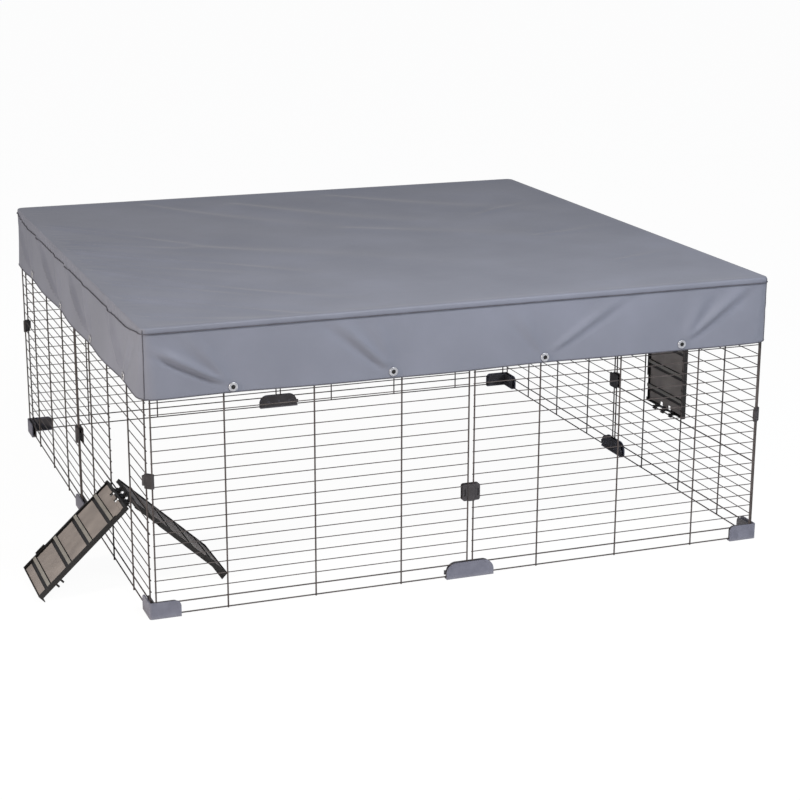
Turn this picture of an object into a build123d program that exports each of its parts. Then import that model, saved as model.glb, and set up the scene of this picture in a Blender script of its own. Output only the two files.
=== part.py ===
from build123d import *
import math
import os

# An eight-panel wire run for guinea pigs, with ramp boards hooked in two door openings and a fabric cover.
# The frame: x runs along the front from the front left corner, y towards the back, z up from the floor.
# All sizes are in millimetres.

# Wire panels
ROW_PITCH = 25.0
ROW_COUNT = 25
LOWEST_ROW = 5.0
EDGE_GAP = 151.2
MIDDLE_GAP = 190.3
POST_D = 3.4
ROW_D = 2.0
HEAVY_ROW_D = 3.0
WELD_DEPTH = 0.3
PANEL = 2 * EDGE_GAP + 2 * MIDDLE_GAP
PANEL_SPACE = 12.6
CORNER_SPACE = 9.9
SIDE = 2 * CORNER_SPACE + 2 * PANEL + PANEL_SPACE
HEAVY_ROW_OFFSET = (POST_D + HEAVY_ROW_D) / 2 - WELD_DEPTH
PANEL_TOP = LOWEST_ROW + (ROW_COUNT - 1) * ROW_PITCH

# Door opening in a panel: the third gap from the left, seen from outside
DOOR_ROW = 7
DOOR_TOP_ROW = 15
DOOR_MIDDLE = EDGE_GAP + 1.5 * MIDDLE_GAP
HINGE_HEIGHT = LOWEST_ROW + DOOR_ROW * ROW_PITCH

# Ramp boards: u runs from the hinge wire to the free end, v across, n up from the underside
BOARD_START = 2.0
BOARD_END = 262.0
BOARD_HALF = 92.0
UNDERSIDE = 7.0
TOP_SIDE = 16.7
PLATE_LOW = 11.0
PLATE_HIGH = 13.0
RAIL = 8.0
END_BAR = 6.0
RIB = 8.0
RIB_LOW = 7.8
RIB_TOP = 16.0
FIRST_RIB = 43.0
RIB_PITCH = 62.5
RIB_COUNT = 4
LIP_TIP = -1.7
LIP_THICK = 1.6
HOOK_PLACES = (-34.0, 6.0, 46.0)
HOOK_WIDTH = 9.0
HOOK_R = 4.6
HOOK_PLAY = 0.07
HOOK_MOUTH = 2.7
WINDOW_PLACES = (-20.0, 20.0)

# Feet and clips
WALL = 3.0
FOOT_GAP = 0.3
FOOT_HEIGHT = 35.0
BASE_HEIGHT = 3.2
CORNER_FOOT = 61.0
MID_FOOT_HALF = 54.5
PEG_R = 3.0
PEG_PLAY = 0.05
PEG_HEIGHT = 17.5
CLIP_HALF_WIDTH = 20.0
CLIP_HALF_HEIGHT = 18.5
MID_CLIP_HEIGHT = LOWEST_ROW + 7.5 * ROW_PITCH
CORNER_CLIP_HEIGHT = 293.0
CORNER_CLIP_TALL = 30.0

# Cover
COVER_THICK = 2.0
COVER_TOP = PANEL_TOP + 3.3
HEM_HEIGHT = 464.0
EYELET_HEIGHT = 476.0
EYELETS_ALONG_X = (179.0, 520.0, 862.0, 1189.0)
EYELETS_ALONG_Y = (148.0, 475.0, 816.0, 1183.0)
TOP_STANDOFF = 5.0
EYELET_STANDOFF = 9.0
FOLD_DEPTH = {"front": 6.0, "right": 8.0, "back": 6.0, "left": 12.0}
COVER_CORNER_R = 12.0
EYELET_R = 9.5
EYELET_BORE_R = 4.6
FLANGE_SINK = 0.4


def box(x, y, z):
    """A box from three (low, high) pairs."""
    return Pos(sum(x) / 2, sum(y) / 2, sum(z) / 2) * Box(x[1] - x[0], y[1] - y[0], z[1] - z[0])


def rod_x(radius, low, high, y, z):
    return Pos((low + high) / 2, y, z) * Rot(0, 90, 0) * Cylinder(radius, high - low)


def rod_y(radius, low, high, x, z):
    return Pos(x, (low + high) / 2, z) * Rot(90, 0, 0) * Cylinder(radius, high - low)


def rod_z(radius, low, high, x, y):
    return Pos(x, y, (low + high) / 2) * Cylinder(radius, high - low)


def row_diameter(row, has_door):
    """The two lowest rows are heavier, and so is the row that a door panel's ramp boards hook on."""
    return HEAVY_ROW_D if row < 2 or (has_door and row == DOOR_ROW) else ROW_D


def wire_panel(has_door):
    """Five posts with rows of wire welded to their inner side. x runs along it and -y is outwards."""
    post_x = [0, EDGE_GAP, EDGE_GAP + MIDDLE_GAP, EDGE_GAP + 2 * MIDDLE_GAP, PANEL]
    over = POST_D / 2
    posts = [rod_z(POST_D / 2, LOWEST_ROW - HEAVY_ROW_D / 2, PANEL_TOP + ROW_D / 2, x, 0) for x in post_x]
    rows = []
    for row in range(ROW_COUNT):
        diameter = row_diameter(row, has_door)
        inward = (POST_D + diameter) / 2 - WELD_DEPTH
        height = LOWEST_ROW + row * ROW_PITCH
        spans = [(-over, PANEL + over)]
        if has_door and DOOR_ROW < row < DOOR_TOP_ROW:
            spans = [(-over, post_x[2] + over), (post_x[3] - over, PANEL + over)]
        rows += [rod_x(diameter / 2, low, high, inward, height) for low, high in spans]
    return posts[0] + (posts[1:] + rows)


# Each side's turn, and where its panels start when seen from outside
SIDES = {
    "front": (0, lambda along: (along, 0)),
    "right": (90, lambda along: (SIDE, along)),
    "back": (180, lambda along: (SIDE - along, SIDE)),
    "left": (-90, lambda along: (0, SIDE - along)),
}


def on_side(side, along, height=0.0):
    """The place on a side, a distance from its left end seen from outside, with -y outwards."""
    turn, point = SIDES[side]
    x, y = point(along)
    return Pos(x, y, height) * Rot(0, 0, turn)


def corner_foot_outer():
    """The grey shell: two rounded wings round the corner on a base that the wires stand above."""
    face = -(POST_D / 2 + FOOT_GAP)
    back = face - WALL
    inner = HEAVY_ROW_OFFSET + HEAVY_ROW_D / 2 + FOOT_GAP + WALL
    wing = box((back, CORNER_FOOT), (back, face), (0, FOOT_HEIGHT))
    wing = fillet(wing.edges().filter_by(Axis.Y).group_by(Axis.X)[-1].group_by(Axis.Z)[-1], 12)
    base = box((back, CORNER_FOOT), (back, inner), (0, BASE_HEIGHT))
    peg = rod_y(PEG_R, face, inner, 35, PEG_HEIGHT) - rod_y(1.4, inner - 8, inner, 35, PEG_HEIGHT)
    half = wing + base + peg
    both = half + mirror(half, Plane((0, 0, 0), z_dir=(1, -1, 0)))
    return both - corner_round(back)


def corner_round(back):
    """What rounds the upright outer edge of the corner foot."""
    radius = 5.0
    low = back - 1
    blank = box((low, back + radius), (low, back + radius), (-1, FOOT_HEIGHT + 1))
    return blank - rod_z(radius, -2, FOOT_HEIGHT + 2, back + radius, back + radius)


def corner_foot_inner():
    """The dark plate: two wings inside the wires, pushed on the shell's pegs."""
    face = HEAVY_ROW_OFFSET + HEAVY_ROW_D / 2 + FOOT_GAP
    wing = box((face, CORNER_FOOT - 3), (face, face + WALL), (BASE_HEIGHT, FOOT_HEIGHT - 2))
    wing = fillet(wing.edges().filter_by(Axis.Y).group_by(Axis.X)[-1].group_by(Axis.Z)[-1], 11)
    wing -= rod_y(PEG_R + PEG_PLAY, face - 1, face + WALL + 1, 35, PEG_HEIGHT)
    return wing + mirror(wing, Plane((0, 0, 0), z_dir=(1, -1, 0)))


def mid_foot_outer():
    """The grey shell under the join of two panels, with pegs between the wires."""
    face = -(POST_D / 2 + FOOT_GAP)
    inner = HEAVY_ROW_OFFSET + HEAVY_ROW_D / 2 + FOOT_GAP + WALL
    plate = box((-MID_FOOT_HALF, MID_FOOT_HALF), (face - WALL, face), (0, FOOT_HEIGHT))
    plate = fillet(plate.edges().filter_by(Axis.Y).group_by(Axis.Z)[-1], 23)
    base = box((-MID_FOOT_HALF, MID_FOOT_HALF), (face - WALL, inner), (0, BASE_HEIGHT))
    pegs = [rod_y(PEG_R, face, inner, x, PEG_HEIGHT) for x in (-30, 0, 30)]
    pilots = [rod_y(1.4, inner - 8, inner, x, PEG_HEIGHT) for x in (-30, 0, 30)]
    return plate + [base] + pegs - pilots


def mid_foot_inner():
    """The dark plate inside the wires, with a small tab at each end."""
    face = HEAVY_ROW_OFFSET + HEAVY_ROW_D / 2 + FOOT_GAP
    half = MID_FOOT_HALF - 2
    plate = box((-half, half), (face, face + WALL), (BASE_HEIGHT, FOOT_HEIGHT))
    plate = fillet(plate.edges().filter_by(Axis.Y).group_by(Axis.Z)[-1], 22)
    tabs = box((-half - 4, half + 4), (face, face + WALL), (9, 18))
    holes = [rod_y(PEG_R + PEG_PLAY, face - 1, face + WALL + 1, x, PEG_HEIGHT) for x in (-30, 0, 30)]
    return plate + tabs - holes


def mid_clip_outer():
    """The front half of a panel clip: a rounded plate with a raised barrel and two slots."""
    face = -(POST_D / 2 + FOOT_GAP)
    high = CLIP_HALF_HEIGHT
    plate = box((-CLIP_HALF_WIDTH, CLIP_HALF_WIDTH), (face - 2.6, face), (-high, high))
    plate = fillet(plate.edges().filter_by(Axis.Y), 5)
    barrel = box((-8.5, 8.5), (face - 6, face), (-high, high))
    barrel = fillet(barrel.edges().filter_by(Axis.Z).group_by(Axis.Y)[0], 4)
    slots = [box((x - 1.8, x + 1.8), (face - 3, face + 1), (-7.5, 7.5)) for x in (-15, 15)]
    return plate + barrel - slots


def mid_clip_inner():
    """The back half of a panel clip, with two tongues that snap into the front half's slots."""
    face = HEAVY_ROW_OFFSET + HEAVY_ROW_D / 2 + FOOT_GAP
    high = CLIP_HALF_HEIGHT
    plate = box((-CLIP_HALF_WIDTH, CLIP_HALF_WIDTH), (face, face + 2.6), (-high, high))
    plate = fillet(plate.edges().filter_by(Axis.Y), 5)
    tongue_end = -(POST_D / 2 + FOOT_GAP) - 0.8
    tongues = [box((x - 1.3, x + 1.3), (tongue_end, face), (-6.5, 6.5)) for x in (-15, 15)]
    return plate + tongues


def corner_clip():
    """A ribbed sleeve round the two posts that meet at a corner, with a thumb barrel outside."""
    half = CORNER_CLIP_TALL / 2
    sleeve_r = 4.2
    first = (CORNER_SPACE, 0)
    second = (0, CORNER_SPACE)
    body = rod_z(sleeve_r, -half, half, *first) + rod_z(sleeve_r, -half, half, *second)
    bridge = Pos(CORNER_SPACE / 2, CORNER_SPACE / 2, 0) * Rot(0, 0, -45)
    body += bridge * Box(CORNER_SPACE * math.sqrt(2), 2 * sleeve_r, CORNER_CLIP_TALL)
    body += rod_z(5.0, -half + 6, half - 4, -3.0, CORNER_SPACE + 2.5)
    rib = 0.5
    for step in range(-3, 4):
        shift = step * 1.6
        place = Pos(CORNER_SPACE / 2 + shift, CORNER_SPACE / 2 - shift, 0) * Rot(0, 0, -45)
        body += place * Pos(0, -sleeve_r, 0) * Box(0.8, 2 * rib, CORNER_CLIP_TALL)
    for x, y in (first, second):
        body -= rod_z(POST_D / 2 + 0.05, -half - 1, half + 1, x, y)
    for row in (11, 12):
        height = LOWEST_ROW + row * ROW_PITCH - CORNER_CLIP_HEIGHT
        inward = (POST_D + ROW_D) / 2 - WELD_DEPTH
        body -= rod_x(ROW_D / 2 + 0.2, CORNER_SPACE - POST_D, 30, inward, height)
        body -= rod_y(ROW_D / 2 + 0.2, CORNER_SPACE - POST_D, 30, inward, height)
    return body


def ramp_board():
    """One moulded board: a plate with rails, ribs on both faces, wire hooks, a floor lip and catches."""
    plate = box((BOARD_START, BOARD_END), (-BOARD_HALF, BOARD_HALF), (PLATE_LOW, PLATE_HIGH))
    full = (UNDERSIDE, TOP_SIDE)
    solids = [
        box((BOARD_START, BOARD_END), (-BOARD_HALF, -BOARD_HALF + RAIL), full),
        box((BOARD_START, BOARD_END), (BOARD_HALF - RAIL, BOARD_HALF), full),
        box((BOARD_START, BOARD_START + END_BAR), (-BOARD_HALF, BOARD_HALF), (RIB_LOW, RIB_TOP)),
        box((BOARD_END - LIP_THICK, BOARD_END), (-BOARD_HALF, BOARD_HALF), (LIP_TIP, TOP_SIDE)),
    ]
    for index in range(RIB_COUNT):
        middle = FIRST_RIB + index * RIB_PITCH
        span = (middle - RIB / 2, middle + RIB / 2)
        solids.append(box(span, (-BOARD_HALF, BOARD_HALF), (RIB_LOW, RIB_TOP)))
    for place in HOOK_PLACES:
        across = (place - HOOK_WIDTH / 2, place + HOOK_WIDTH / 2)
        solids.append(rod_y(HOOK_R, *across, 0, 0))
        solids.append(box((0, BOARD_START + END_BAR), across, (0, PLATE_HIGH)))
    solids += catches()
    board = plate + solids
    for place in HOOK_PLACES:
        across = (place - HOOK_WIDTH, place + HOOK_WIDTH)
        board -= rod_y(HEAVY_ROW_D / 2 + HOOK_PLAY, *across, 0, 0)
        board -= box((-HOOK_MOUTH / 2, HOOK_MOUTH / 2), across, (-HOOK_R - 1, 0))
    return board - board_slots()


def catches():
    """A thumb tab on one rail and two catch prongs under the other."""
    tab = box((196, 222), (-BOARD_HALF - 1.2, -BOARD_HALF + 3), (TOP_SIDE - 5, TOP_SIDE + 3))
    prongs = [box((u - 2, u + 2), (84, 88), (-3, UNDERSIDE + 1)) for u in (206, 219)]
    return [tab] + prongs


def board_slots():
    """Two windows by the hooks, a slot near each end and a long cut-out in one rail."""
    through = (LIP_TIP, TOP_SIDE + 1)
    slots = [box((10, 26), (place - 4, place + 4), through) for place in WINDOW_PLACES]
    slots.append(box((226, 257), (-90, -86), through))
    slots.append(box((11, 47), (86, 90), through))
    slots.append(box((11, 68), (-BOARD_HALF - 1, -87), through))
    return slots


def board_place(hinge, swing_out, angle):
    """Where a board goes: from its hinge wire, out along a direction, at an angle above level."""
    rise = math.radians(angle)
    u = Vector(swing_out[0] * math.cos(rise), swing_out[1] * math.cos(rise), math.sin(rise))
    n = Vector(-swing_out[0] * math.sin(rise), -swing_out[1] * math.sin(rise), math.cos(rise))
    return Plane(origin=hinge, x_dir=u, z_dir=n).location


def resting_angle():
    """The slope at which the lip's tip of a board on the hinge wire meets the floor."""
    reach = math.hypot(BOARD_END, LIP_TIP)
    return math.degrees(math.asin(HINGE_HEIGHT / reach) - math.atan2(-LIP_TIP, BOARD_END))


def cover_outline(height, at_eyelets, folds, inset):
    """One level of the cover: four sides of shallow arcs, pulled in at the eyelets, with round corners."""
    corner = COVER_CORNER_R - inset
    edges = []
    for side, places in (
        ("front", EYELETS_ALONG_X),
        ("right", EYELETS_ALONG_Y),
        ("back", [SIDE - x for x in reversed(EYELETS_ALONG_X)]),
        ("left", [SIDE - y for y in reversed(EYELETS_ALONG_Y)]),
    ):
        out = at_eyelets - inset
        reach = COVER_CORNER_R - at_eyelets
        stops = [reach, *places, SIDE - reach]
        turn, point = SIDES[side]
        for first, last in zip(stops, stops[1:]):
            depth = folds * FOLD_DEPTH[side] * (1 if first != stops[0] and last != stops[-1] else 0.6)
            ends = [place_out(side, first, out), place_out(side, last, out)]
            if depth > 0:
                middle = place_out(side, (first + last) / 2, out + depth)
                edges.append(ThreePointArc((*ends[0], height), (*middle, height), (*ends[1], height)))
            else:
                edges.append(Line((*ends[0], height), (*ends[1], height)))
        centre = place_out(side, SIDE - reach, out - corner)
        start = place_out(side, SIDE - reach, out)
        heading = math.radians(turn - 45)
        middle = (centre[0] + corner * math.cos(heading), centre[1] + corner * math.sin(heading))
        heading = math.radians(turn)
        last = (centre[0] + corner * math.cos(heading), centre[1] + corner * math.sin(heading))
        edges.append(ThreePointArc((*start, height), (*middle, height), (*last, height)))
    return make_face(Wire(edges))


def place_out(side, along, out):
    """The point a distance along a side and a distance out from the plane of its posts."""
    point = on_side(side, along) * Pos(0, -out, 0)
    return point.position.X, point.position.Y


def cover():
    """The fabric cover: a flat top and a skirt that hangs in shallow folds from eyelet to eyelet."""
    def block(low, high, inset):
        hem = cover_outline(low, EYELET_STANDOFF, 1, inset)
        return loft([hem, cover_outline(high, TOP_STANDOFF, 0, inset)], ruled=True)

    outer = block(HEM_HEIGHT, COVER_TOP, 0)
    inner = block(HEM_HEIGHT - 0.01, COVER_TOP - COVER_THICK, COVER_THICK)
    return outer - inner - [place * eyelet_seat() for place in eyelet_places()]


def eyelet_seat():
    """Where an eyelet squeezes the fabric flat: its barrel's hole and a shallow round on each face."""
    hole = rod_y(EYELET_BORE_R + 1, -6, 8, 0, 0)
    outside = rod_y(EYELET_R + 0.2, -6, FLANGE_SINK, 0, 0)
    return hole + [outside, rod_y(EYELET_R - 0.8, COVER_THICK - FLANGE_SINK, 8, 0, 0)]


def skirt_lean():
    """How far the skirt at the eyelets stands out from the posts' plane."""
    drop = (COVER_TOP - EYELET_HEIGHT) / (COVER_TOP - HEM_HEIGHT)
    return TOP_STANDOFF + (EYELET_STANDOFF - TOP_STANDOFF) * drop


def eyelet_places():
    """Each eyelet's centre on the skirt's outer face."""
    places = []
    for side, stops in (
        ("front", EYELETS_ALONG_X),
        ("right", EYELETS_ALONG_Y),
        ("back", [SIDE - x for x in EYELETS_ALONG_X]),
        ("left", [SIDE - y for y in EYELETS_ALONG_Y]),
    ):
        for along in stops:
            places.append(on_side(side, along, EYELET_HEIGHT) * Pos(0, -skirt_lean(), 0))
    return places


def eyelet():
    """A rolled metal ring in the fabric: a flange outside, a barrel and a flange inside."""
    flange = rod_y(EYELET_R, -1.6, FLANGE_SINK, 0, 0)
    flange = fillet(flange.edges().group_by(Axis.Y)[0], 1.2)
    barrel = rod_y(EYELET_BORE_R + 1, 0, COVER_THICK, 0, 0)
    back = rod_y(EYELET_R - 1, COVER_THICK - FLANGE_SINK, COVER_THICK + 0.8, 0, 0)
    return flange + [barrel, back] - rod_y(EYELET_BORE_R, -3, 6, 0, 0)


def cover_hook():
    """A black plastic stud through the eyelet, with a hook plate behind the fabric."""
    stud = rod_y(EYELET_BORE_R - 0.1, -0.8, COVER_THICK + 1.2, 0, 0)
    low = COVER_THICK + 1.0
    plate = rod_y(7.5, low, low + 2, -2, -2)
    tongue = box((-12, -4), (low, low + 2), (-13, -4))
    tongue = fillet(tongue.edges().filter_by(Axis.Y).group_by(Axis.X)[0], 2.5)
    return stud + [plate, tongue]


def write(name, shape):
    shape.label = name
    export_step(shape, f"parts/{name}.step")


def together(shapes):
    return Compound(children=[solid for shape in shapes for solid in shape.solids()])


os.makedirs("parts", exist_ok=True)

plain_panel = wire_panel(False)
door_panel = wire_panel(True)
DOOR_PANELS = (("right", 0), ("left", 1))
for side in SIDES:
    for index in range(2):
        start = CORNER_SPACE + index * (PANEL + PANEL_SPACE)
        panel = door_panel if (side, index) in DOOR_PANELS else plain_panel
        write(f"panel_{side}_{index + 1}", on_side(side, start) * panel)

corners = {"front_left": "front", "front_right": "right", "back_right": "back", "back_left": "left"}
for corner, side in corners.items():
    write(f"corner_foot_outer_{corner}", on_side(side, 0) * corner_foot_outer())
    write(f"corner_foot_inner_{corner}", on_side(side, 0) * corner_foot_inner())
    write(f"corner_clip_{corner}", on_side(side, 0, CORNER_CLIP_HEIGHT) * corner_clip())

for side in SIDES:
    write(f"mid_foot_outer_{side}", on_side(side, SIDE / 2) * mid_foot_outer())
    write(f"mid_foot_inner_{side}", on_side(side, SIDE / 2) * mid_foot_inner())
    write(f"mid_clip_outer_{side}", on_side(side, SIDE / 2, MID_CLIP_HEIGHT) * mid_clip_outer())
    write(f"mid_clip_inner_{side}", on_side(side, SIDE / 2, MID_CLIP_HEIGHT) * mid_clip_inner())

board = ramp_board()
left_hinge = (HEAVY_ROW_OFFSET, SIDE - CORNER_SPACE - PANEL - PANEL_SPACE - DOOR_MIDDLE, HINGE_HEIGHT)
right_hinge = (SIDE - HEAVY_ROW_OFFSET, CORNER_SPACE + DOOR_MIDDLE, HINGE_HEIGHT)
slope = -resting_angle()
write("ramp_board_left_outer", board_place(left_hinge, (-1, 0), slope) * board)
write("ramp_board_left_inner", board_place(left_hinge, (1, 0), slope) * board)
write("ramp_board_right", board_place(right_hinge, (-1, 0), 90) * board)

write("cover", cover())
write("cover_eyelets", together([place * eyelet() for place in eyelet_places()]))
write("cover_hooks", together([place * cover_hook() for place in eyelet_places()]))

print("side", SIDE, "panel top", PANEL_TOP, "hinge height", HINGE_HEIGHT, "board slope", slope)
print("left hinge", left_hinge, "right hinge", right_hinge)
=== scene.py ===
import math

import bmesh
import bpy
import numpy as np
from mathutils import Matrix, Vector


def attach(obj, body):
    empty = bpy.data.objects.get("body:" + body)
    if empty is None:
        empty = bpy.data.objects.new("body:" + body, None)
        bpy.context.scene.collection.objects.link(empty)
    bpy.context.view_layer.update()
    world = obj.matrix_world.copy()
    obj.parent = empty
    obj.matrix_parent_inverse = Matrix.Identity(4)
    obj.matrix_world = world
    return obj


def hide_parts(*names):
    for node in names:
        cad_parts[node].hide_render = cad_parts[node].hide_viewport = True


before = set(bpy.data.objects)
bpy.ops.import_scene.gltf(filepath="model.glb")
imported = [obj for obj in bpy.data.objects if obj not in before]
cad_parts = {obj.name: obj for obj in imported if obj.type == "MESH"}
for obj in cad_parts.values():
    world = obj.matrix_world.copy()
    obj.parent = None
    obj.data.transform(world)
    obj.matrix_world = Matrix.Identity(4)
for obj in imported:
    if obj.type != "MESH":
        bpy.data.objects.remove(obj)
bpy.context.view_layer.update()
scene = bpy.context.scene

# Camera: it stands in front of the run's left corner, a little above the cover, and looks down at it
# with a long lens. Its place is in metres, and its yaw, pitch and roll are in radians.
CAMERA_PLACE = (-0.7992, -3.5388, 1.4954)
YAW, PITCH, ROLL = 0.3612, 0.2791, 0.0035
forward = Vector((math.sin(YAW) * math.cos(PITCH), math.cos(YAW) * math.cos(PITCH), -math.sin(PITCH)))
level_right = Vector((math.cos(YAW), -math.sin(YAW), 0))
level_up = level_right.cross(forward)
right = math.cos(ROLL) * level_right + math.sin(ROLL) * level_up
up = math.cos(ROLL) * level_up - math.sin(ROLL) * level_right
camera = bpy.data.objects.new("camera", bpy.data.cameras.new("camera"))
camera.data.lens = 85.5
camera.data.sensor_width = 36
turned = Matrix((right, up, -forward)).transposed().to_4x4()
camera.matrix_world = Matrix.Translation(CAMERA_PLACE) @ turned
scene.collection.objects.link(camera)
scene.camera = camera
scene.render.resolution_x = 800
scene.render.resolution_y = 800
scene.view_settings.view_transform = "Standard"
scene.render.engine = "CYCLES"

# Light: a white room with a lamp high over the front edge, so the cover darkens towards the back, a weak
# one at the front right and a warmer one at the left, and a white floor that takes a faint shadow.
# The camera sees the room as plain white and the floor as nearly white.
ROOM_LIGHT = 0.30
FLOOR_RADIUS, FLOOR_DROP = 30, 0.0004
FLOOR_GLOW, GLOW_SHARE = 1.03, 0.93


def srgb(colour):
    """The linear colour of an sRGB hex string such as "7f8a99"."""
    parts = [int(colour[i:i + 2], 16) / 255 for i in (0, 2, 4)]
    return (*[c / 12.92 if c <= 0.04045 else ((c + 0.055) / 1.055) ** 2.4 for c in parts], 1)


def add_node(tree, kind, inputs=(), stops=(), **settings):
    """One shader node with its settings, and with sockets set to values or linked to other sockets.

    A colour ramp also takes its stops, each a position and an sRGB hex string.
    """
    made = tree.nodes.new(kind)
    for name, value in settings.items():
        setattr(made, name, value)
    for socket, value in dict(inputs).items():
        if isinstance(value, bpy.types.NodeSocket):
            tree.links.new(value, made.inputs[socket])
        else:
            made.inputs[socket].default_value = value
    for _ in stops[2:]:
        made.color_ramp.elements.new(0.5)
    for index, (position, colour) in enumerate(stops):
        made.color_ramp.elements[index].position = position
        made.color_ramp.elements[index].color = srgb(colour)
    return made


def area_lamp(name, place, target, size, watts, colour):
    """A round lamp at a place, turned to a target."""
    data = bpy.data.lights.new(name, "AREA")
    data.shape = "DISK"
    data.size = size
    data.energy = watts
    data.color = srgb(colour)[:3]
    lamp = bpy.data.objects.new(name, data)
    lamp.location = place
    lamp.rotation_mode = "QUATERNION"
    lamp.rotation_quaternion = (Vector(target) - Vector(place)).to_track_quat("-Z", "Y")
    scene.collection.objects.link(lamp)


world = bpy.data.worlds.new("white room")
world.use_nodes = True
scene.world = world
tree = world.node_tree
tree.nodes.clear()
rays = add_node(tree, "ShaderNodeLightPath").outputs
seen = add_node(tree, "ShaderNodeMath", {0: rays["Is Camera Ray"], 1: rays["Is Transmission Ray"]},
                operation="MAXIMUM")
room = add_node(tree, "ShaderNodeBackground", {"Color": srgb("eef1fa"), "Strength": ROOM_LIGHT})
backdrop = add_node(tree, "ShaderNodeBackground", {"Color": (1, 1, 1, 1), "Strength": 1.0})
mixed = add_node(tree, "ShaderNodeMixShader",
                 {0: seen.outputs[0], 1: room.outputs[0], 2: backdrop.outputs[0]})
add_node(tree, "ShaderNodeOutputWorld", {"Surface": mixed.outputs[0]})

area_lamp("key lamp", (1.0, -1.2, 2.4), (0.7, 0.3, 0.6), 0.8, 40, "ffffff")
area_lamp("front lamp", (4.4, -2.8, 2.1), (0.6, 0.0, 0.4), 0.9, 40, "f6f8ff")
area_lamp("left lamp", (-3.9, -1.0, 2.0), (0.0, 0.7, 0.5), 0.8, 135, "fff1e2")

bpy.ops.mesh.primitive_circle_add(vertices=96, radius=FLOOR_RADIUS, fill_type="NGON",
                                  location=(0.7, 0.7, -FLOOR_DROP))
floor = bpy.context.object
floor.name = "floor"
floor_paint = bpy.data.materials.new("white studio floor")
floor_paint.use_nodes = True
tree = floor_paint.node_tree
tree.nodes.clear()
rays = add_node(tree, "ShaderNodeLightPath").outputs
seen = add_node(tree, "ShaderNodeMath", {0: rays["Is Camera Ray"], 1: GLOW_SHARE}, operation="MULTIPLY")
paper = add_node(tree, "ShaderNodeBsdfDiffuse", {"Color": (0.95, 0.95, 0.95, 1)})
glow = add_node(tree, "ShaderNodeEmission", {"Color": (1, 1, 1, 1), "Strength": FLOOR_GLOW})
mixed = add_node(tree, "ShaderNodeMixShader", {0: seen.outputs[0], 1: paper.outputs[0], 2: glow.outputs[0]})
add_node(tree, "ShaderNodeOutputMaterial", {"Surface": mixed.outputs[0]})
floor.data.materials.append(floor_paint)

# Wire panels: drawn steel wire, spot welded and powder coated dark brown-grey, two panels to a side.
# The coat is slightly pebbled, uneven in tone, and glossier in places.
SIDES = ("front", "right", "back", "left")
PANELS = [f"panel_{side}_{index}" for side in SIDES for index in (1, 2)]


def new_material(name, roughness, **constants):
    """A material with one principled shader, whose own sockets take the constants.

    Returned with its shader and the Object coordinates that its patterns read.
    """
    made = bpy.data.materials.new(name)
    made.use_nodes = True
    made.node_tree.nodes.clear()
    shader = add_node(made.node_tree, "ShaderNodeBsdfPrincipled", {"Roughness": roughness})
    for socket, value in constants.items():
        shader.inputs[socket.replace("_", " ")].default_value = value
    add_node(made.node_tree, "ShaderNodeOutputMaterial", {"Surface": shader.outputs[0]})
    place = add_node(made.node_tree, "ShaderNodeTexCoord").outputs["Object"]
    return made, shader, place


def dress(material, names):
    """Gives CAD nodes a material."""
    for name in names:
        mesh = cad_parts[name].data
        mesh.materials.clear()
        mesh.materials.append(material)
        mesh.polygons.foreach_set("material_index", np.zeros(len(mesh.polygons), dtype=np.int32))


wire_coat, shader, place = new_material("powder coated steel wire", 0.42, Specular_IOR_Level=0.55)
tree = wire_coat.node_tree
patches = add_node(tree, "ShaderNodeTexNoise", {"Vector": place, "Scale": 1 / 0.035, "Detail": 3})
tone = add_node(tree, "ShaderNodeValToRGB", {0: patches.outputs[0]},
                [(0.3, "3c3534"), (0.55, "4b4442"), (0.8, "5a524f")])
tree.links.new(tone.outputs[0], shader.inputs["Base Color"])
worn = add_node(tree, "ShaderNodeTexNoise", {"Vector": place, "Scale": 1 / 0.012, "Detail": 3})
gloss = add_node(tree, "ShaderNodeMapRange", {"Value": worn.outputs[0], "To Min": 0.34, "To Max": 0.55})
tree.links.new(gloss.outputs[0], shader.inputs["Roughness"])
pebbles = add_node(tree, "ShaderNodeTexNoise", {"Vector": place, "Scale": 1 / 0.0009, "Detail": 3})
bump = add_node(tree, "ShaderNodeBump", {"Height": pebbles.outputs[0], "Distance": 0.00012, "Strength": 0.6})
tree.links.new(bump.outputs[0], shader.inputs["Normal"])
dress(wire_coat, PANELS)

# Feet: injection moulded plastic shells with an inner plate pushed on their pegs. The shells are
# blue-grey with a fine spark-eroded grain, the plates darker, and both are dusty near the floor.
CORNERS = ("front_left", "front_right", "back_right", "back_left")
DUST_TOP, DUST_SHARE = 0.009, 0.55


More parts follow.
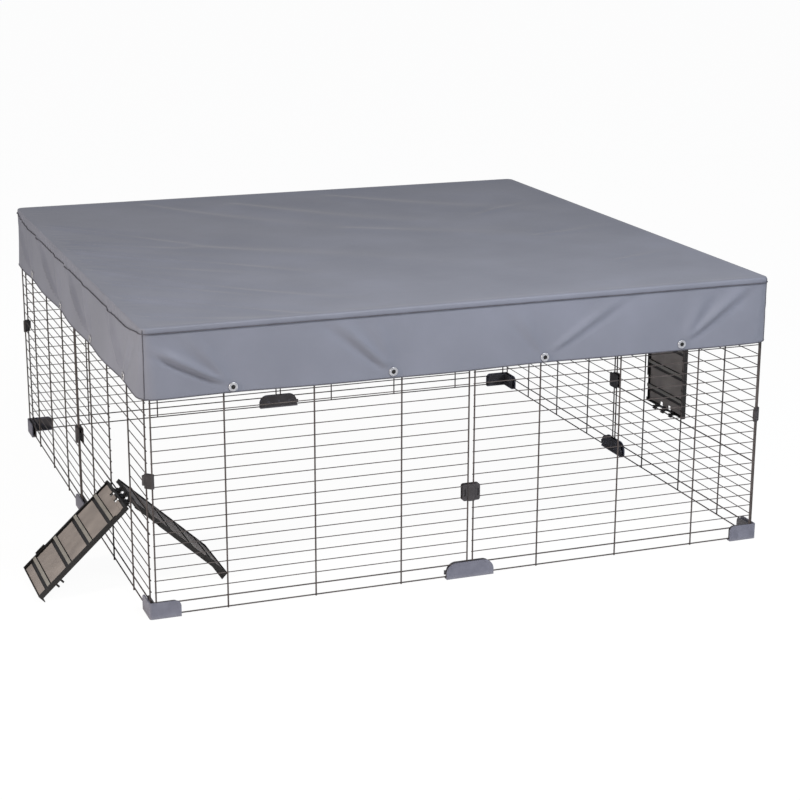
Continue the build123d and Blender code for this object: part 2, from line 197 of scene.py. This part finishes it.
def moulded(name, dark, pale, roughness, dust):
    """Moulded plastic in two close tones, with a fine grain, flow marks and dust near the floor."""
    made, shader, place = new_material(name, roughness, Specular_IOR_Level=0.45)
    tree = made.node_tree
    flow = add_node(tree, "ShaderNodeTexNoise", {"Vector": place, "Scale": 1 / 0.028, "Detail": 4})
    tone = add_node(tree, "ShaderNodeValToRGB", {0: flow.outputs[0]}, [(0.35, dark), (0.7, pale)])
    height = add_node(tree, "ShaderNodeSeparateXYZ", {0: place})
    low = add_node(tree, "ShaderNodeMapRange", {"Value": height.outputs[2], "From Min": 0.0,
                                                "From Max": DUST_TOP, "To Min": DUST_SHARE, "To Max": 0.0})
    dusty = add_node(tree, "ShaderNodeMix", {0: low.outputs[0], 6: tone.outputs[0], 7: srgb(dust)},
                     data_type="RGBA")
    tree.links.new(dusty.outputs[2], shader.inputs["Base Color"])
    rubbed = add_node(tree, "ShaderNodeTexNoise", {"Vector": place, "Scale": 1 / 0.006, "Detail": 3})
    gloss = add_node(tree, "ShaderNodeMapRange", {"Value": rubbed.outputs[0], "To Min": roughness - 0.07,
                                                  "To Max": roughness + 0.1})
    tree.links.new(gloss.outputs[0], shader.inputs["Roughness"])
    grit = add_node(tree, "ShaderNodeTexNoise", {"Vector": place, "Scale": 1 / 0.0006, "Detail": 2})
    bump = add_node(tree, "ShaderNodeBump",
                    {"Height": grit.outputs[0], "Distance": 0.00008, "Strength": 0.7})
    tree.links.new(bump.outputs[0], shader.inputs["Normal"])
    return made


foot_shell = moulded("blue-grey moulded plastic", "6f717f", "7d7f8d", 0.5, "8a8b94")
foot_plate = moulded("dark moulded plastic", "515156", "5d5d62", 0.55, "6a6a6e")
for part, material in (("outer", foot_shell), ("inner", foot_plate)):
    dress(material, [f"corner_foot_{part}_{corner}" for corner in CORNERS])
    dress(material, [f"mid_foot_{part}_{side}" for side in SIDES])

# Clips: small snap clips of moulded charcoal plastic that hold neighbouring posts together, ribbed
# sleeves at the corners and two-part plates halfway along each side.
clip_plastic = moulded("charcoal clip plastic", "383638", "454245", 0.48, "454245")
dress(clip_plastic, [f"corner_clip_{corner}" for corner in CORNERS])
dress(clip_plastic, [f"mid_clip_{part}_{side}" for part in ("outer", "inner") for side in SIDES])

# Ramp boards: moulded trays of black plastic with tread panels and cross strips on both faces. The panels'
# grey and the strips' pale colour are painted sheen of the black plastic's lit faces. The black tray left
# showing in the gaps beside the strips and along one rail is painted shadow of the ribs and rail.
# Each hangs by three snap hooks on its doorway's sill wire, and two prongs near its end catch the panel.
# u runs from the wire to the free end, v across the board, and n up from its underside.
BOARD_START, BOARD_END, BOARD_HALF = 0.002, 0.262, 0.092
UNDERSIDE, TOP_SIDE = 0.007, 0.0167
PLATE_LOW, PLATE_HIGH = 0.011, 0.013
RAIL, HINGE_BAR, LIP_THICK, LIP_TIP = 0.0065, 0.0025, 0.0016, -0.0017
RIB_CENTRES = [0.043 + 0.0625 * index for index in range(4)]
RIB_HALF, STRIP_HALF = 0.0036, 0.004
# The wide gap beside each strip shows the black tray as painted shadow of the rib, and the fine gap on its
# other side shows it as painted contact shade.
TREAD_THICK, END_GAP, CONTACT_SHADE_GAP, RIB_SHADOW_GAP = 0.0011, 0.0008, 0.0016, 0.0085
WINDOWS_U, WINDOWS_V, WINDOW_GAP = (0.0045, 0.0165), (0.012, 0.028), 0.0125
RAIL_RUNS = {
    -1: ((BOARD_START, 0.011, 0, RAIL), (0.011, 0.068, 0.005, RAIL + 0.0015), (0.068, 0.226, 0, RAIL),
         (0.226, 0.257, 0, 0.002), (0.226, 0.257, 0.006, RAIL + 0.001), (0.257, BOARD_END, 0, RAIL)),
    1: ((BOARD_START, 0.011, 0, RAIL), (0.011, 0.047, 0, 0.002), (0.031, 0.047, 0.006, RAIL + 0.001),
        (0.047, BOARD_END, 0, RAIL)),
}
HOOK_PLACES, HOOK_WIDTH = (-0.034, 0.006, 0.046), 0.011
HOOK_BORE, HOOK_R, HOOK_STEPS = 0.00157, 0.0046, 13
HOOK_TIP, HOOK_ROOT = -55, 235
PRONG_PLACES, PRONG_HALF = (0.206, 0.219), 0.002
HINGE_HEIGHT, POST_PLANE, SIDE = 0.18, 0.0029, 1.3984
LEFT_HINGE_Y, RIGHT_HINGE_Y = 0.25625, 0.44655
FRAME_SLOT, TREAD_SLOT, STRIP_SLOT = range(3)


def board_plastic(name, dark, pale):
    """Satin moulded plastic with a faint leathery grain and scuffs along the board."""
    made, shader, place = new_material(name, 0.42, Specular_IOR_Level=0.5)
    tree = made.node_tree
    flow = add_node(tree, "ShaderNodeTexNoise", {"Vector": place, "Scale": 1 / 0.045, "Detail": 4})
    tone = add_node(tree, "ShaderNodeValToRGB", {0: flow.outputs[0]}, [(0.3, dark), (0.72, pale)])
    tree.links.new(tone.outputs[0], shader.inputs["Base Color"])
    scuffs = add_node(tree, "ShaderNodeTexNoise", {"Vector": place, "Scale": 1 / 0.01, "Detail": 3})
    gloss = add_node(tree, "ShaderNodeMapRange",
                     {"Value": scuffs.outputs[0], "To Min": 0.36, "To Max": 0.52})
    tree.links.new(gloss.outputs[0], shader.inputs["Roughness"])
    leather = add_node(tree, "ShaderNodeTexVoronoi", {"Vector": place, "Scale": 1 / 0.0011})
    fine = add_node(tree, "ShaderNodeBump",
                    {"Height": leather.outputs[0], "Distance": 0.00006, "Strength": 0.6})
    sink = add_node(tree, "ShaderNodeTexNoise", {"Vector": place, "Scale": 1 / 0.02, "Detail": 3})
    bump = add_node(tree, "ShaderNodeBump", {"Height": sink.outputs[0], "Distance": 0.0003, "Strength": 0.35,
                                             "Normal": fine.outputs[0]})
    tree.links.new(bump.outputs[0], shader.inputs["Normal"])
    return made


def boxes_mesh(boxes):
    """Corners and faces of boxes given as three (low, high) pairs, along u, v and n.

    A box's eight corners take every choice of the low or the high end of its three pairs.
    """
    ends = np.array(boxes)
    u, v, n = np.indices((2, 2, 2)).reshape(3, 8)
    corners = np.stack([ends[:, 0, u], ends[:, 1, v], ends[:, 2, n]], axis=-1).reshape(-1, 3)
    box = np.array(((0, 1, 3, 2), (4, 6, 7, 5), (0, 4, 5, 1), (2, 3, 7, 6), (0, 2, 6, 4), (1, 5, 7, 3)))
    return corners, (box + 8 * np.arange(len(ends))[:, None, None]).reshape(-1, 4)


def hook_mesh(place):
    """A snap hook: a C round the wire with its mouth below.

    The four corners (r, v) of its section are carried round an arc, as (r cos a, v, r sin a).
    """
    r = np.array((HOOK_BORE, HOOK_R, HOOK_R, HOOK_BORE))
    v = place + HOOK_WIDTH / 2 * np.array((-1, -1, 1, 1))
    a = np.radians(np.linspace(HOOK_TIP, HOOK_ROOT, HOOK_STEPS))[:, None]
    points = np.stack([r * np.cos(a), v + 0 * a, r * np.sin(a)], axis=-1).reshape(-1, 3)
    rings = np.arange(4 * HOOK_STEPS).reshape(HOOK_STEPS, 4)
    around = np.roll(rings, -1, axis=1)
    walls = np.stack([rings[:-1], around[:-1], around[1:], rings[1:]], axis=-1).reshape(-1, 4)
    return points, np.concatenate([walls, rings[:1, ::-1], rings[-1:]])


def beside_windows(low, gap):
    """The three stretches across the board, from low on, that its two windows and its cut-out leave."""
    inner, outer = WINDOWS_V
    return (low, -outer - gap), (gap - inner, inner - gap), (outer + gap, BOARD_HALF - WINDOW_GAP)


def tray_boxes():
    """The tray: its plate, rails with their slots, hinge bar, lip, ribs, hook arms, grip and prongs."""
    between, full = (-BOARD_HALF + RAIL, BOARD_HALF - RAIL), (UNDERSIDE, TOP_SIDE)
    boxes = [(span, between, (PLATE_LOW, PLATE_HIGH))
             for span in ((BOARD_START, WINDOWS_U[0]), (WINDOWS_U[1], BOARD_END))]
    boxes += [(WINDOWS_U, across, (PLATE_LOW, PLATE_HIGH)) for across in beside_windows(between[0], 0)]
    for edge, runs in RAIL_RUNS.items():
        for first, last, outer, inner in runs:
            across = sorted((edge * (BOARD_HALF - outer), edge * (BOARD_HALF - inner)))
            boxes.append(((first, last), across, full))
    boxes.append(((BOARD_START, BOARD_START + HINGE_BAR), between, (0.0078, 0.016)))
    boxes.append(((BOARD_END - LIP_THICK, BOARD_END), (-BOARD_HALF, BOARD_HALF), (LIP_TIP, TOP_SIDE)))
    boxes += [((centre - RIB_HALF, centre + RIB_HALF), between, (0.0082, 0.0157))
              for centre in RIB_CENTRES]
    boxes += [((0.0004, 0.008), (place - HOOK_WIDTH / 2, place + HOOK_WIDTH / 2), (0.0035, PLATE_HIGH))
              for place in HOOK_PLACES]
    boxes.append(((0.196, 0.222), (-BOARD_HALF - 0.0012, -BOARD_HALF + 0.003),
                  (TOP_SIDE - 0.005, TOP_SIDE + 0.003)))
    boxes += [((u - PRONG_HALF, u + PRONG_HALF), (0.084, 0.088), (-0.003, UNDERSIDE + 0.001))
              for u in PRONG_PLACES]
    return boxes


def tread_boxes(low, high, gap_before, gap_after):
    """The treads of one face, between its strips. The wider gap beside each strip, on the side where the
    rib's shadow falls, leaves the dark tray showing as painted shadow, and the fine gap on its other side is
    painted contact shade.
    """
    stops = [BOARD_START + 0.006, *RIB_CENTRES, BOARD_END - LIP_THICK]
    # The wider margin at the -v rail leaves the black tray showing as painted shadow of that rail.
    across = (-BOARD_HALF + 0.013, BOARD_HALF - 0.0085)
    past_windows = WINDOWS_U[1] + 0.0003
    boxes = []
    for index, (first, last) in enumerate(zip(stops, stops[1:])):
        start = first + (STRIP_HALF + gap_before if index else END_GAP)
        end = last - (STRIP_HALF + gap_after if index < len(stops) - 2 else END_GAP)
        if index == 0:
            boxes += [((start, past_windows), v, (low, high)) for v in beside_windows(across[0], 0.0002)]
            start = past_windows
        boxes.append(((start, end), across, (low, high)))
    return boxes


def strip_boxes(low, high):
    """The cross strips of one face, one over each rib."""
    across = (-BOARD_HALF + 0.0004, BOARD_HALF - 0.0075)
    return [((centre - STRIP_HALF, centre + STRIP_HALF), across, (low, high)) for centre in RIB_CENTRES]


def new_piece(name, points, faces):
    """A piece at the origin with the given points and faces, turned outwards."""
    mesh = bpy.data.meshes.new(name)
    mesh.from_pydata(points.tolist(), [], faces)
    shell = bmesh.new()
    shell.from_mesh(mesh)
    bmesh.ops.recalc_face_normals(shell, faces=shell.faces)
    shell.to_mesh(mesh)
    shell.free()
    made = bpy.data.objects.new(name, mesh)
    scene.collection.objects.link(made)
    return made


def board(name, body, node, hinge, out, angle):
    """One board: out is +1 or -1 along x away from the hinge, at an angle in degrees above level."""
    rise = math.radians(angle)
    u_axis = (out * math.cos(rise), 0, math.sin(rise))
    n_axis = (-out * math.sin(rise), 0, math.cos(rise))
    made = new_piece(name, board_points @ np.array((u_axis, (0, out, 0), n_axis)) + hinge, board_faces)
    for material in (board_frame, sheen_painted_tread, highlight_painted_strip):
        made.data.materials.append(material)
    made.data.polygons.foreach_set("material_index", board_slots)
    edges = made.modifiers.new("moulded edges", "BEVEL")
    edges.width = 0.0005
    edges.segments = 2
    edges.limit_method = "ANGLE"
    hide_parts(node)
    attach(made, body)


board_frame = board_plastic("black board plastic", "141312", "201e1d")
# The treads' grey and the strips' pale tone are painted sheen and highlight: light on the broad faces and
# rib tops of the black plastic.
sheen_painted_tread = board_plastic("tread plastic painted with sheen", "857f7b", "9c9590")
highlight_painted_strip = board_plastic("strip plastic painted with highlight", "86857f", "98968f")
treads = tread_boxes(PLATE_HIGH, PLATE_HIGH + TREAD_THICK, RIB_SHADOW_GAP, CONTACT_SHADE_GAP)
treads += tread_boxes(PLATE_LOW - TREAD_THICK, PLATE_LOW, CONTACT_SHADE_GAP, RIB_SHADOW_GAP)
strips = strip_boxes(0.0155, 0.0163) + strip_boxes(0.0076, 0.0084)
lots = [(FRAME_SLOT, boxes_mesh(tray_boxes())), *[(FRAME_SLOT, hook_mesh(place)) for place in HOOK_PLACES],
        (TREAD_SLOT, boxes_mesh(treads)), (STRIP_SLOT, boxes_mesh(strips))]
board_points = np.concatenate([points for _, (points, _) in lots])
before = np.cumsum([0, *[len(points) for _, (points, _) in lots]])
board_faces = np.concatenate([faces + count for (_, (_, faces)), count in zip(lots, before)]).tolist()
board_slots = np.concatenate([np.full(len(faces), slot) for slot, (_, faces) in lots]).astype(np.int32)

reach = math.hypot(BOARD_END, LIP_TIP)
slope = -math.degrees(math.asin(HINGE_HEIGHT / reach) - math.atan2(-LIP_TIP, BOARD_END))
left_hinge = (POST_PLANE, LEFT_HINGE_Y, HINGE_HEIGHT)
right_hinge = (SIDE - POST_PLANE, RIGHT_HINGE_Y, HINGE_HEIGHT)
board("left_outer_board", "ramp_left_outer", "ramp_board_left_outer", left_hinge, -1, slope)
board("left_inner_board", "ramp_left_inner", "ramp_board_left_inner", left_hinge, 1, slope)
board("right_board", "door_right", "ramp_board_right", right_hinge, -1, 90)

# Cover: one top panel and four side panels of coated polyester, sewn under the fold round the top and
# hemmed below. It hangs over the run's rim, is gathered along its left edge, and is pulled in at its
# eyelets, so the skirt hangs in slanting folds. Heights and sizes are in metres.
COVER_TOP, HEM_HEIGHT, EYELET_HEIGHT = 0.6083, 0.464, 0.476
EYELETS_X = (0.179, 0.520, 0.862, 1.189)
EYELETS_Y = (0.148, 0.475, 0.816, 1.183)
TOP_OUT, EYELET_OUT, LEAST_OUT = 0.0045, 0.0082, 0.0026
BAY_DEPTH = {"front": 0.003, "right": 0.004, "back": 0.003, "left": 0.004}
FOLD_SIZE, FOLD_VALLEY = 0.0085, 0.6
WAVE_SIZE, SKIRT_GATHERS, TOP_GATHERS = 0.0022, 0.0022, 0.0018
RIM_R, RIM_ANGLES = 0.0035, (0, 22.5, 45, 67.5)
CORNER_R, CORNER_GROWTH, CORNER_TURNS = 0.011, 0.014, (0.25, 0.5, 0.75)
SHARP_DIP, SLOW_DIP = 0.0035, 0.004
STEPS, LEVELS = 231, 26
SIDE_POINTS = STEPS + len(CORNER_TURNS)
BACK_EYELETS = [SIDE - x for x in EYELETS_X[::-1]]
LEFT_EYELETS = [SIDE - y for y in EYELETS_Y[::-1]]
# Each side has an origin, a direction along it, one outwards, and its eyelets' places along it.
SIDE_FRAMES = {
    "front": (np.array((0, 0)), np.array((1, 0)), np.array((0, -1)), EYELETS_X),
    "right": (np.array((SIDE, 0)), np.array((0, 1)), np.array((1, 0)), EYELETS_Y),
    "back": (np.array((SIDE, SIDE)), np.array((-1, 0)), np.array((0, 1)), BACK_EYELETS),
    "left": (np.array((0, SIDE)), np.array((0, -1)), np.array((-1, 0)), LEFT_EYELETS),
}
# Each eyelet has two folds, each with its slant, sideways per height, and its share of the fold size.
SLANTS = {
    "left": (((1.9, 0.8), (0.35, 0.5)), ((2.5, 1.1), (0.35, 0.6)), ((2.3, 1.1), (0.5, 0.6)),
             ((1.1, 1.0), (-0.6, 0.5))),
    "others": (((1.75, 1.1), (0.75, 0.4)), ((1.0, 0.8), (0.35, 0.35)), ((-1.5, 0.6), (0.6, 0.3)),
               ((-1.3, 0.8), (-0.5, 0.45))),
}
# Each crease of the top has its start in x and y, its heading in degrees, its height, length and width.
CREASES = (
    (0.0, 0.13, -27, 0.0060, 0.34, 0.013), (0.0, 0.30, -41, 0.0085, 0.62, 0.014),
    (0.0, 0.44, -36, 0.0064, 0.42, 0.012), (0.0, 0.58, -44, 0.0092, 0.70, 0.015),
    (0.0, 0.70, -36, 0.0066, 0.44, 0.012), (0.0, 0.83, -42, 0.0095, 0.70, 0.015),
    (0.0, 0.93, -34, 0.0060, 0.42, 0.012), (0.0, 1.13, -46, 0.0070, 0.58, 0.014),
    (0.30, 1.37, -52, 0.0040, 0.75, 0.030), (0.52, 1.30, -46, 0.0050, 0.95, 0.045),
    (0.80, 1.33, -40, 0.0050, 0.85, 0.045), (0.28, 0.80, -38, 0.0046, 0.95, 0.050),
    (0.70, 0.90, -35, 0.0046, 0.80, 0.050), (1.13, 0.62, 20, 0.0044, 0.26, 0.018),
    (1.10, 0.95, 26, 0.0046, 0.28, 0.018), (1.17, 0.30, 14, 0.0036, 0.22, 0.016))


def ridge(across, width):
    """A soft rounded ridge: exp(-(across / width) squared)."""
    return np.exp(-(across / width) ** 2)


def gathers(along):
    """Puckers 33 mm apart that come in bunches: a fast sine times a slow one squared."""
    bunched = (0.5 + 0.5 * np.sin(13 * along + 2 * np.sin(5 * along))) ** 2
    return bunched * np.sin(190 * along + 3 * np.sin(11 * along))


def skirt_out(side, along, drop):
    """How far the skirt stands out from the posts' plane, along a side and at a drop of 0 to 1.

    out = lean + bay + wave + gathers + folds. The lean grows with the drop, a bay is a parabola
    between two eyelets that grows with the drop, the wave is a sine, the gathers pucker the left side
    under its seam, and the folds are ridges with a valley beside them that slant up and away from
    each eyelet, to either side. Round each eyelet the cloth is flat, at the lean alone.
    """
    eyelets = SIDE_FRAMES[side][3]
    stops = np.array([0, *eyelets, SIDE])
    bay = np.clip(np.searchsorted(stops, along, side="right") - 1, 0, len(stops) - 2)
    share = (along - stops[bay]) / (stops[bay + 1] - stops[bay])
    end_bay = (bay == 0) | (bay == len(stops) - 2)
    loose = BAY_DEPTH[side] * np.where(end_bay, 0.5, 0.85) * 4 * share * (1 - share) * drop ** 1.6
    slack = 1.25 if side == "left" else 1.0
    loose = loose + WAVE_SIZE * slack * np.sin(along * 19 + 2.6 * drop + len(side)) * drop * (1 - 0.5 * drop)
    if side == "left":
        puckered = np.clip(drop / 0.15, 0, 1)
        loose = loose + SKIRT_GATHERS * gathers(along) * 4 * puckered * (1 - puckered)
    up = (1 - drop) * (COVER_TOP - HEM_HEIGHT) - (EYELET_HEIGHT - HEM_HEIGHT)
    width = 0.008 + 0.13 * np.abs(up)
    grows = np.clip((up - 0.004) / 0.018, 0, 1) * np.clip((0.132 - up) / 0.06, 0, 1)
    grows = grows * np.clip((np.minimum(along, SIDE - along) - CORNER_R) / 0.045, 0, 1)
    for eyelet, folds in zip(eyelets, SLANTS["left" if side == "left" else "others"]):
        for slant, size in folds:
            offset = along - eyelet + slant * up
            valley = ridge(offset + 1.4 * width * np.sign(slant), width)
            loose = loose + FOLD_SIZE * slack * size * grows * (ridge(offset, width) - FOLD_VALLEY * valley)
        loose = loose * (1 - np.clip(1.6 * ridge(along - eyelet, 0.017) * ridge(up, 0.017), 0, 1))
    return np.maximum(TOP_OUT + (EYELET_OUT - TOP_OUT) * drop + loose, LEAST_OUT)


def skirt_ring(drop_at, push=0.0):
    """Points round the skirt, pushed out a little: drop_at(side, share) is a side's drop along it.

    Each side is followed by three points round its corner, whose radius grows with the drop.
    """
    share = np.linspace(0, 1, STEPS)
    turn = np.array(CORNER_TURNS)[:, None]
    lines = []
    for side in SIDE_FRAMES:
        drop = drop_at(side, share) * np.ones(STEPS)
        inset = CORNER_R + CORNER_GROWTH * drop
        along = inset + share * (SIDE - 2 * inset)
        lines.append((drop, inset, along, skirt_out(side, along, drop) + push))
    points = []
    for number, (origin, run, outward, _) in enumerate(SIDE_FRAMES.values()):
        drop, inset, along, out = lines[number]
        following = lines[(number + 1) % 4][3][0]
        centre = origin + (SIDE - inset[-1]) * run - inset[-1] * outward
        radius = inset[-1] + out[-1] * (1 - turn) + following * turn
        corner = centre + radius * (np.cos(turn * math.pi / 2) * outward + np.sin(turn * math.pi / 2) * run)
        plan = np.concatenate([origin + along[:, None] * run + out[:, None] * outward, corner])
        drop = np.append(drop, np.full(len(turn), drop[-1]))
        height = COVER_TOP - RIM_R - drop * (COVER_TOP - RIM_R - HEM_HEIGHT)
        height += 0.0013 * np.sin(9 * plan.sum(axis=1)) * drop
        points.append(np.column_stack([plan, height]))
    return np.concatenate(points)


def folded(points, angle):
    """The skirt's first ring, moved in and up round the fold over the rim: 90 degrees is the ring.

    It moves in by R (1 - sin angle) and up by R cos angle.
    """
    middle = np.array((SIDE / 2, SIDE / 2))
    plan = points[:, :2] - middle
    furthest = np.abs(plan).max(axis=1, keepdims=True)
    plan = middle + plan * (1 - RIM_R * (1 - math.sin(angle)) / furthest)
    return np.column_stack([plan, points[:, 2] + RIM_R * math.cos(angle)])


def inward(distance, width):
    """How far the cloth has left the rim: 1 - exp(-distance / width), from where it rests on the wire."""
    return 1 - np.exp(-np.maximum(distance - CORNER_R, 0) / width)


def top_height(x, y):
    """The top's height: it dips inside the rim and has creases, which start sharp and widen.

    z = top - sharp dip - slow dip + creases + gathers. The dips are products of the four edges' inward
    profiles, a crease is a ridge with a valley beside it, and the gathers fade from the left edge.
    """
    sharp, slow = (inward(x, width) * inward(SIDE - x, width) * inward(y, width) * inward(SIDE - y, width)
                   for width in (0.02, 0.15))
    z = COVER_TOP - SHARP_DIP * sharp - SLOW_DIP * slow
    for left, front, degrees, size, length, width in CREASES:
        heading = math.radians(degrees)
        along = (x - left) * math.cos(heading) + (y - front) * math.sin(heading)
        across = (y - front) * math.cos(heading) - (x - left) * math.sin(heading)
        across = across + 0.012 * np.sin(along * 7 + front * 9)
        spread = width * (0.6 + np.clip(along, 0, length) / length)
        fade = np.clip(along / 0.05, 0, 1) * np.clip(1 - along / length, 0, 1)
        valley = ridge(across - 1.9 * spread, 1.5 * spread)
        z = z + size * fade * sharp * (ridge(across, spread) - 0.8 * valley)
    puckers = TOP_GATHERS * gathers(SIDE - y) * np.exp(-x / 0.03)
    return z + puckers * inward(x, 0.01) * inward(y, 0.05) * inward(SIDE - y, 0.05)


first_ring = skirt_ring(lambda side, share: 0.0)
rings = [folded(first_ring, math.radians(angle)) for angle in RIM_ANGLES]
rings += [skirt_ring(lambda side, share: level / LEVELS) for level in range(LEVELS + 1)]
on_skirt = np.arange(len(rings) * len(first_ring)).reshape(len(rings), -1)
around = np.roll(on_skirt, -1, axis=1)
grid = CORNER_R + np.linspace(0, 1, STEPS) * (SIDE - 2 * CORNER_R)
grid_x, grid_y = np.meshgrid(grid, grid, indexing="ij")
top_points = np.column_stack([grid_x.ravel(), grid_y.ravel(), top_height(grid_x, grid_y).ravel()])
on_top = on_skirt.size + np.arange(STEPS * STEPS).reshape(STEPS, STEPS)
quads = [np.stack([on_skirt[:-1], on_skirt[1:], around[1:], around[:-1]], axis=-1),
         np.stack([on_top[:-1, :-1], on_top[1:, :-1], on_top[1:, 1:], on_top[:-1, 1:]], axis=-1)]
fans = []
for number, edge in enumerate((on_top[:, 0], on_top[-1, :], on_top[::-1, -1], on_top[0, ::-1])):
    rim = np.roll(on_skirt[0], -number * SIDE_POINTS)[:SIDE_POINTS + 1]
    quads.append(np.stack([edge[:-1], rim[:STEPS - 1], rim[1:STEPS], edge[1:]], axis=-1))
    fans += [(int(edge[-1]), int(first), int(last)) for first, last in zip(rim[STEPS - 1:], rim[STEPS:])]
faces = np.concatenate([lot.reshape(-1, 4) for lot in quads]).tolist() + fans
cover_cloth = new_piece("cover_cloth", np.concatenate([*rings, top_points]), faces)
cover_cloth.data.polygons.foreach_set("use_smooth", np.ones(len(faces), dtype=bool))

# The weave's threads are 2 mm apart, coarser than the real ones, so that they show. A wave pattern
# whose scale is 1 repeats every tau / 20.
THREAD = 0.00217
cloth, shader, place = new_material("coated polyester cloth", 0.55, Sheen_Weight=0.12, Sheen_Roughness=0.4,
                                    Specular_IOR_Level=0.35)
tree = cloth.node_tree
faded = add_node(tree, "ShaderNodeTexNoise", {"Vector": place, "Scale": 1 / 0.16, "Detail": 5})
tone = add_node(tree, "ShaderNodeValToRGB", {0: faded.outputs[0]},
                [(0.3, "7a7e8b"), (0.5, "7e828f"), (0.7, "828694")])
tree.links.new(tone.outputs[0], shader.inputs["Base Color"])
threads = {"Vector": place, "Scale": math.tau / 20 / THREAD, "Distortion": 0.6, "Detail": 1.0}
warp, weft, fill = (add_node(tree, "ShaderNodeTexWave", threads, bands_direction=axis) for axis in "XYZ")
weave = add_node(tree, "ShaderNodeMath", {0: warp.outputs[1], 1: weft.outputs[1]}, operation="ADD")
weave = add_node(tree, "ShaderNodeMath", {0: weave.outputs[0], 1: fill.outputs[1]}, operation="ADD")
rumpled = add_node(tree, "ShaderNodeTexNoise", {"Vector": place, "Scale": 1 / 0.03, "Detail": 4})
soft = add_node(tree, "ShaderNodeBump", {"Height": rumpled.outputs[0], "Distance": 0.0012, "Strength": 0.35})
bump = add_node(tree, "ShaderNodeBump", {"Height": weave.outputs[0], "Distance": 0.00005, "Strength": 0.6,
                                         "Normal": soft.outputs[0]})
tree.links.new(bump.outputs[0], shader.inputs["Normal"])
cover_cloth.data.materials.append(cloth)
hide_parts("cover")
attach(cover_cloth, "cover")

# Cover trim: a bound seam just under the fold, a seam down each corner and a rolled hem. They are thin
# cords of the same cloth with the grain of their thread, painted darker as shade for the creases they lie
# in.
SEAM_R, HEM_R, CORNER_SEAM_R = 0.0012, 0.0013, 0.0011
SEAM_DROP, LEFT_SEAM_DROP = 0.055, 0.09
SEAM_PUSH = 0.0014
shade_painted_trim, shader, place = new_material("seam cloth painted with shade", 0.6, Specular_IOR_Level=0.3)
tree = shade_painted_trim.node_tree
faded = add_node(tree, "ShaderNodeTexNoise", {"Vector": place, "Scale": 1 / 0.02, "Detail": 3})
# Darker than the cover cloth: painted shade of the creases the trim lies in.
tone = add_node(tree, "ShaderNodeValToRGB", {0: faded.outputs[0]}, [(0.3, "4c4d55"), (0.7, "5d5e67")])
tree.links.new(tone.outputs[0], shader.inputs["Base Color"])
thread = add_node(tree, "ShaderNodeTexVoronoi", {"Vector": place, "Scale": 1 / 0.0025})
bump = add_node(tree, "ShaderNodeBump", {"Height": thread.outputs[0], "Distance": 0.0004, "Strength": 0.6})
tree.links.new(bump.outputs[0], shader.inputs["Normal"])


def piping(name, points, radius, closed):
    """A thin round cord of cloth that follows a row of points."""
    data = bpy.data.curves.new(name, "CURVE")
    data.dimensions = "3D"
    data.bevel_depth = radius
    data.bevel_resolution = 2
    spline = data.splines.new("POLY")
    spline.points.add(len(points) - 1)
    spline.points.foreach_set("co", np.column_stack([points, np.ones(len(points))]).ravel())
    spline.use_cyclic_u = closed
    made = bpy.data.objects.new(name, data)
    scene.collection.objects.link(made)
    data.materials.append(shade_painted_trim)
    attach(made, "cover")
    return made


def seam_drop(side, share):
    """The rim seam runs just under the fold, and lower along the gathered left side."""
    lower = LEFT_SEAM_DROP if side == "left" else 0.0
    return SEAM_DROP + lower * np.clip(np.minimum(share, 1 - share) / 0.08, 0, 1)


rim_seam = piping("cover_rim_seam", skirt_ring(seam_drop, SEAM_PUSH), SEAM_R, True)
hem_roll = piping("cover_hem_roll", skirt_ring(lambda side, share: 1.0), HEM_R, True)
for number, side in enumerate(SIDE_FRAMES):
    middle = number * SIDE_POINTS + STEPS + len(CORNER_TURNS) // 2
    path = np.array([ring[middle] for ring in rings[len(RIM_ANGLES):]])
    piping(f"cover_corner_seam_{side}", path, CORNER_SEAM_R, False)

# Eyelets and hooks: rolled and plated rings through the hem, each with a black plastic stud that ends
# in a hook behind the cloth. The plating is bright, with faint tooling marks.
eyelet_metal, shader, place = new_material("plated eyelet metal", 0.3, Metallic=0.7)
tree = eyelet_metal.node_tree
tarnish = add_node(tree, "ShaderNodeTexNoise", {"Vector": place, "Scale": 1 / 0.004, "Detail": 3})
tone = add_node(tree, "ShaderNodeValToRGB", {0: tarnish.outputs[0]}, [(0.3, "b0b2b8"), (0.7, "d4d6da")])
tree.links.new(tone.outputs[0], shader.inputs["Base Color"])
tooling = add_node(tree, "ShaderNodeTexNoise", {"Vector": place, "Scale": 1 / 0.0015, "Detail": 3})
bump = add_node(tree, "ShaderNodeBump", {"Height": tooling.outputs[0], "Distance": 0.00006, "Strength": 0.5})
tree.links.new(bump.outputs[0], shader.inputs["Normal"])
dress(eyelet_metal, ["cover_eyelets"])
hook_plastic = moulded("black hook plastic", "0e0e0f", "19191a", 0.45, "19191a")
dress(hook_plastic, ["cover_hooks"])
